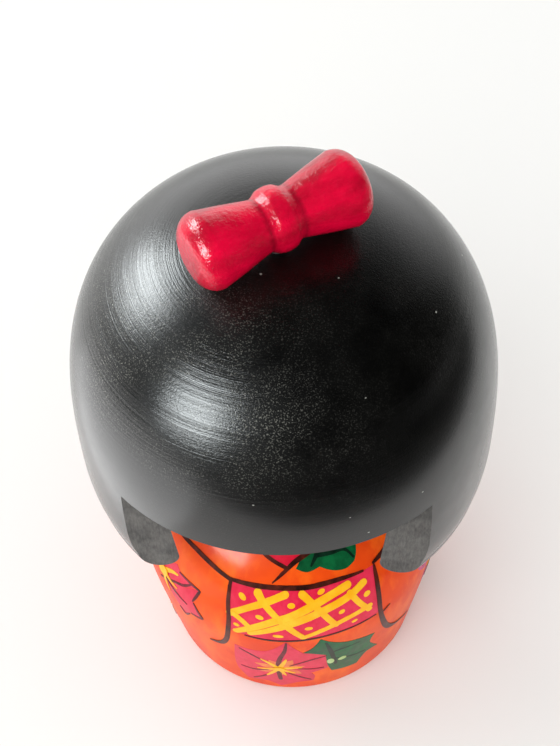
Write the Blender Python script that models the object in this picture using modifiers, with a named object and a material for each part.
"""Kokeshi doll: a turned body, a ball head under a hollow hair cap, and a spool-shaped bow.

The doll stands on the origin with its front towards -Y. The head turns on a dowel in the body, and the bow
turns on a smaller dowel in the crown. Everything is turned wood, so each piece is a profile swept round an
axis. A profile is a list of (radius, height). A superellipse's power says how square it is: 2 is an ellipse.
"""

import math

import bpy

# Driving dimensions, in metres
HEAD_RADIUS = 0.0380  # the hair cap at its widest
GAP = 0.0003  # between pieces that touch

CAP_WIDEST_Z = 0.0662
CROWN_RISE = 0.0451  # from the widest ring up to the crown
CROWN_POWER = 2.9
SKIRT_DROP = 0.0277  # how far the lower curve would fall if it ran on to the axis
SKIRT_POWER = 2.72
RIM_Z = 0.0565  # where the rounded rim begins
RIM_DEPTH = 0.0036
RIM_INNER_RADIUS = 0.0327
HOLLOW_RADIUS = 0.0337
HOLLOW_TOP_Z = 0.0975

BANGS_Z = 0.0760  # the notch's horizontal cut
LOCK_FACE_Y = -0.0274  # the notch's upright cut
NOTCH_WIDTH = 0.0900  # wider than the cap
HEAD_YAW = math.radians(-5.1)

BODY_HEIGHT = 0.0543
FOOT_RADIUS = 0.0253
FOOT_CHAMFER = 0.0008
NECK_SEAT_RADIUS = 0.0110
SHOULDER = (  # radius and height of the points that the body's curve runs through, top to bottom
    (0.0122, 0.0540),
    (0.0164, 0.0525),
    (0.0202, 0.0500),
    (0.0233, 0.0470),
    (0.0259, 0.0435),
    (0.0279, 0.0400),
    (0.0293, 0.0360),
    (0.0299, 0.0310),
    (0.0296, 0.0250),
    (0.0284, 0.0160),
    (0.0272, 0.0080),
    (FOOT_RADIUS + FOOT_CHAMFER, FOOT_CHAMFER),
)

HEAD_BALL_RADIUS = HOLLOW_RADIUS - 1.5 * GAP
HEAD_WIDEST_Z = 0.0770
HEAD_TOP_Z = HOLLOW_TOP_Z - 2 * GAP
CHIN_Z = BODY_HEIGHT + GAP
CHEEK_POWER = 2.3
DOME_POWER = 2.4

NECK_DOWEL_RADIUS = 0.0050
NECK_DOWEL_IN_BODY = 0.0140
NECK_DOWEL_IN_HEAD = 0.0120

BOW_YAW = math.radians(28.5)
BOW_PIN = (-0.0001, -0.0021)  # where the bow's dowel stands on the crown, seen in the head's own frame
BOW_LIFT = 0.0010  # under the knot, so that the thicker ends clear the crown
BOW_LENGTH = 0.0308
BOW_END_RADIUS = 0.0065
BOW_END_ROUNDING = 0.52  # of the end's radius
BOW_FLANK = ((0.96, 0.70), (0.87, 0.52), (0.78, 0.36))  # shares of the end's radius and of half the length
BOW_WAIST = (0.0045, 0.0030)  # its radius, and how far it is from the middle
BOW_KNOT_RADIUS = 0.00545
BOW_KNOT = (  # shares of the knot's radius, and distances from the middle
    (0.87, 0.0021),
    (0.96, 0.0013),
    (0.99, 0.0006),
)
BOW_DOWEL_RADIUS = 0.0015
BOW_DOWEL_IN_CROWN = 0.0060
BOW_DOWEL_IN_BOW = 0.0045

CROWN_Z = CAP_WIDEST_Z + CROWN_RISE
BOW_Z = CROWN_Z + BOW_LIFT + BOW_KNOT_RADIUS

BODY_SEGMENTS = 56
HEAD_SEGMENTS = 44
CAP_SEGMENTS = 64
BOW_SEGMENTS = 30
DOWEL_SEGMENTS = 24
DOWEL_CHAMFER = 1 / 8  # of the dowel's radius
CURVE_STEPS = 2  # in each stretch of a smooth curve

PIECES = "kokeshi_doll"
CUTTERS = "cutters"


def clear_scene():
    for obj in list(bpy.data.objects):
        bpy.data.objects.remove(obj, do_unlink=True)


def collection(name):
    made = bpy.data.collections.new(name)
    bpy.context.scene.collection.children.link(made)
    return made


def material(name, color, roughness):
    made = bpy.data.materials.new(name)
    made.use_nodes = True
    shader = made.node_tree.nodes["Principled BSDF"]
    shader.inputs["Base Color"].default_value = (*color, 1.0)
    shader.inputs["Roughness"].default_value = roughness
    shader.inputs["Metallic"].default_value = 0.0
    return made


def superellipse(radius, middle_z, rise, power, start, end, count):
    """Points of a superellipse quarter: start and end are angles in degrees, 0 at the widest ring."""
    points = []
    for i in range(count + 1):
        angle = math.radians(start + (end - start) * i / count)
        across = radius * math.cos(angle) ** (2 / power)
        along = rise * math.sin(angle) ** (2 / power)
        points.append((across, middle_z + along))
    return points


def catmull_rom(before, start, end, after, t):
    """One coordinate of the curve from start to end, where t runs from 0 to 1."""
    straight = (end - before) * t
    bend = (2 * before - 5 * start + 4 * end - after) * t**2
    twist = (3 * start - before - 3 * end + after) * t**3
    return 0.5 * (2 * start + straight + bend + twist)


def smooth_curve(points):
    """A Catmull-Rom curve through the points."""
    ends = [points[0], *points, points[-1]]
    curve = []
    for stretch in zip(ends, ends[1:], ends[2:], ends[3:]):
        for i in range(CURVE_STEPS):
            curve.append(tuple(catmull_rom(*values, i / CURVE_STEPS) for values in zip(*stretch)))
    curve.append(points[-1])
    return curve


def arc(middle, height, across, rise, start, end, step):
    """Points of an ellipse round (middle, height), by the degrees from its outer side."""
    return [
        (middle + across * math.cos(math.radians(a)), height + rise * math.sin(math.radians(a)))
        for a in range(start, end + 1, step)
    ]


def turned(name, profile, segments, finish, group):
    """Sweeps a profile of (radius, height) round Z. Its outer side runs from top to bottom."""
    mesh = bpy.data.meshes.new(name)
    edges = [(i, i + 1) for i in range(len(profile) - 1)]
    mesh.from_pydata([(r, 0, z) for r, z in profile], edges, [])
    mesh.materials.append(finish)
    obj = bpy.data.objects.new(name, mesh)
    group.objects.link(obj)
    screw = obj.modifiers.new("turn", "SCREW")
    screw.steps = segments
    screw.render_steps = segments
    screw.use_merge_vertices = True
    screw.merge_threshold = 0.00001
    screw.use_smooth_shade = True
    return obj


def cut(obj, cutter):
    boolean = obj.modifiers.new(cutter.name, "BOOLEAN")
    boolean.operation = "DIFFERENCE"
    boolean.solver = "EXACT"
    boolean.object = cutter


def move_to(obj, group):
    for owner in list(obj.users_collection):
        owner.objects.unlink(obj)
    group.objects.link(obj)


def as_cutter(obj):
    obj.hide_render = True
    obj.display_type = "WIRE"


def joint(name, place, height, yaw, group):
    """An empty on the turning axis, so that what it carries turns with it."""
    empty = bpy.data.objects.new(name, None)
    empty.empty_display_size = 0.01
    empty.location = (*place, height)
    empty.rotation_euler = (0, 0, yaw)
    group.objects.link(empty)
    return empty


def carried(obj, empty):
    """Hangs a piece on a joint without moving it up or down."""
    obj.parent = empty
    obj.location.z -= empty.location.z


def upright_cylinder(name, radius, low_z, high_z, place, group):
    bpy.ops.mesh.primitive_cylinder_add(vertices=DOWEL_SEGMENTS, radius=radius, depth=high_z - low_z)
    obj = bpy.context.active_object
    obj.name = name
    obj.location = (*place, (low_z + high_z) / 2)
    move_to(obj, group)
    return obj


def dowel(name, radius, low_z, high_z, place, finish, group):
    obj = upright_cylinder(name, radius, low_z, high_z, place, group)
    obj.data.materials.append(finish)
    chamfer = obj.modifiers.new("chamfer", "BEVEL")
    chamfer.width = DOWEL_CHAMFER * radius
    chamfer.segments = 1
    chamfer.limit_method = "ANGLE"
    return obj


def body_profile():
    hole_floor = BODY_HEIGHT - NECK_DOWEL_IN_BODY - GAP
    hole_radius = NECK_DOWEL_RADIUS + GAP
    hole = [(0, hole_floor), (hole_radius, hole_floor), (hole_radius, BODY_HEIGHT)]
    seat = [(NECK_SEAT_RADIUS, BODY_HEIGHT)]
    foot = [(FOOT_RADIUS, 0), (0, 0)]
    return hole + seat + smooth_curve(SHOULDER) + foot


def head_profile():
    hole_top = CHIN_Z + NECK_DOWEL_IN_HEAD
    hole_radius = NECK_DOWEL_RADIUS + GAP
    up = HEAD_TOP_Z - HEAD_WIDEST_Z
    down = CHIN_Z - HEAD_WIDEST_Z
    dome = superellipse(HEAD_BALL_RADIUS, HEAD_WIDEST_Z, up, DOME_POWER, start=90, end=0, count=8)
    cheeks = superellipse(HEAD_BALL_RADIUS, HEAD_WIDEST_Z, down, CHEEK_POWER, start=0, end=82, count=12)
    seat = [(NECK_SEAT_RADIUS, CHIN_Z)]
    hole = [(hole_radius, CHIN_Z), (hole_radius, hole_top), (0, hole_top)]
    return [(0, HEAD_TOP_Z)] + dome[1:] + cheeks[1:] + seat + hole


def hair_cap_profile():
    crown = superellipse(HEAD_RADIUS, CAP_WIDEST_Z, CROWN_RISE, CROWN_POWER, start=86, end=0, count=15)
    rim_share = (CAP_WIDEST_Z - RIM_Z) / SKIRT_DROP
    rim_angle = math.degrees(math.asin(rim_share ** (SKIRT_POWER / 2)))
    skirt = superellipse(HEAD_RADIUS, CAP_WIDEST_Z, -SKIRT_DROP, SKIRT_POWER, start=0, end=rim_angle, count=4)
    rim_outer = skirt[-1][0]
    middle = (rim_outer + RIM_INNER_RADIUS) / 2
    rim = arc(middle, RIM_Z, (rim_outer - RIM_INNER_RADIUS) / 2, -RIM_DEPTH, start=30, end=180, step=30)
    up = HOLLOW_TOP_Z - HEAD_WIDEST_Z
    hollow = superellipse(HOLLOW_RADIUS, HEAD_WIDEST_Z, up, DOME_POWER, start=0, end=90, count=8)
    return [(0, CROWN_Z)] + crown + skirt[1:] + rim + hollow[:-1] + [(0, HOLLOW_TOP_Z)]


def bow_profile():
    """Half of the spool is drawn from its end to the knot's middle, and the other half mirrors it."""
    half = BOW_LENGTH / 2
    edge = BOW_END_ROUNDING * BOW_END_RADIUS
    rounded_end = arc(BOW_END_RADIUS - edge, half - edge, edge, edge, start=0, end=90, step=15)[::-1]
    flank = [(BOW_END_RADIUS * across, half * along) for across, along in BOW_FLANK]
    knot = [(BOW_KNOT_RADIUS * across, along) for across, along in BOW_KNOT]
    side = smooth_curve([rounded_end[-1], *flank, BOW_WAIST, *knot, (BOW_KNOT_RADIUS, 0)])
    upper = [(0, half)] + rounded_end + side[1:]
    lower = [(r, -z) for r, z in reversed(upper[:-1])]
    return upper + lower


def front_notch(group):
    """The two saw cuts that free the face: level under the bangs, upright in front of the locks."""
    depth = HEAD_RADIUS
    bottom_z = RIM_Z - 2 * RIM_DEPTH
    bpy.ops.mesh.primitive_cube_add(size=1)
    obj = bpy.context.active_object
    obj.name = "front_notch"
    obj.dimensions = (NOTCH_WIDTH, depth, BANGS_Z - bottom_z)
    bpy.ops.object.transform_apply(location=False, rotation=False, scale=True)
    obj.location = (0, LOCK_FACE_Y - depth / 2, (BANGS_Z + bottom_z) / 2)
    move_to(obj, group)
    as_cutter(obj)
    return obj


def bow_pin_hole(name, low_z, high_z, place, group):
    obj = upright_cylinder(name, BOW_DOWEL_RADIUS + GAP, low_z, high_z, place, group)
    as_cutter(obj)
    return obj


def build():
    clear_scene()
    pieces = collection(PIECES)
    cutters = collection(CUTTERS)
    kimono = material("kimono_paint", (0.85, 0.10, 0.01), 0.30)
    skin = material("skin_paint", (0.83, 0.62, 0.45), 0.45)
    lacquer = material("black_lacquer", (0.010, 0.010, 0.011), 0.28)
    crimson = material("crimson_paint", (0.55, 0.01, 0.04), 0.25)
    bare_wood = material("bare_wood", (0.62, 0.44, 0.26), 0.70)

    turned("body", body_profile(), BODY_SEGMENTS, kimono, pieces)
    neck_low_z = BODY_HEIGHT - NECK_DOWEL_IN_BODY
    neck_high_z = CHIN_Z + NECK_DOWEL_IN_HEAD - GAP
    dowel("neck_dowel", NECK_DOWEL_RADIUS, neck_low_z, neck_high_z, (0, 0), bare_wood, pieces)

    head_turn = joint("head_turn", (0, 0), BODY_HEIGHT, HEAD_YAW, pieces)
    head = turned("head", head_profile(), HEAD_SEGMENTS, skin, pieces)
    hair_cap = turned("hair_cap", hair_cap_profile(), CAP_SEGMENTS, lacquer, pieces)
    notch = front_notch(cutters)
    pin_low_z = CROWN_Z - BOW_DOWEL_IN_CROWN
    pin_high_z = BOW_Z - BOW_KNOT_RADIUS + BOW_DOWEL_IN_BOW
    bow_dowel = dowel("bow_dowel", BOW_DOWEL_RADIUS, pin_low_z, pin_high_z, BOW_PIN, bare_wood, pieces)
    crown_hole = bow_pin_hole("crown_hole", pin_low_z - GAP, CROWN_Z + BOW_LIFT, BOW_PIN, cutters)
    for obj in (head, hair_cap, notch, bow_dowel, crown_hole):
        carried(obj, head_turn)
    cut(hair_cap, notch)
    cut(hair_cap, crown_hole)

    bow_turn = joint("bow_turn", BOW_PIN, BOW_Z, BOW_YAW - HEAD_YAW, pieces)
    carried(bow_turn, head_turn)
    bow = turned("bow", bow_profile(), BOW_SEGMENTS, crimson, pieces)
    bow.rotation_euler = (0, math.radians(90), 0)
    bow.parent = bow_turn
    bow_hole = bow_pin_hole("bow_hole", CROWN_Z, pin_high_z + GAP, (0, 0), cutters)
    carried(bow_hole, bow_turn)
    bow_hole.location.z -= head_turn.location.z
    cut(bow, bow_hole)


build()
